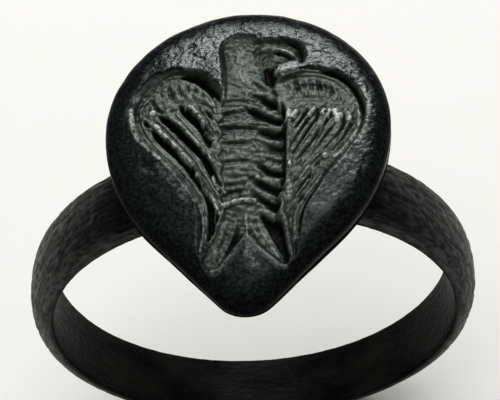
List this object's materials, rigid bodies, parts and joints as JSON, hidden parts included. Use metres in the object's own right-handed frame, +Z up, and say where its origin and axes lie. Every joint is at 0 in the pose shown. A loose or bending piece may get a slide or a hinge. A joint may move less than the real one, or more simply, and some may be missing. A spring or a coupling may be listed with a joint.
{
  "type": "finger ring",
  "caption": "Black-patinated bronze finger ring with a teardrop bezel engraved with a displayed eagle, soldered to a half-round hoop.",
  "frame": {"origin": "centre of the finger hole, at the middle of the hoop's width", "axes": "+Z up through the bezel, +Y along the finger with the bezel's point towards -Y, +X to the wearer's right of the bezel"},
  "size_m": [0.021, 0.0152, 0.0226],
  "materials": {
    "black_bronze": "smooth near-black patina with worn, slightly lighter edges",
    "dark_solder": "dull dark patina over hard solder"
  },
  "bodies": {
    "root": {"hoop": "black_bronze", "bezel": "black_bronze", "bezel_solder": "dark_solder", "hoop_seam_solder": "dark_solder"}
  },
  "joints": []
}
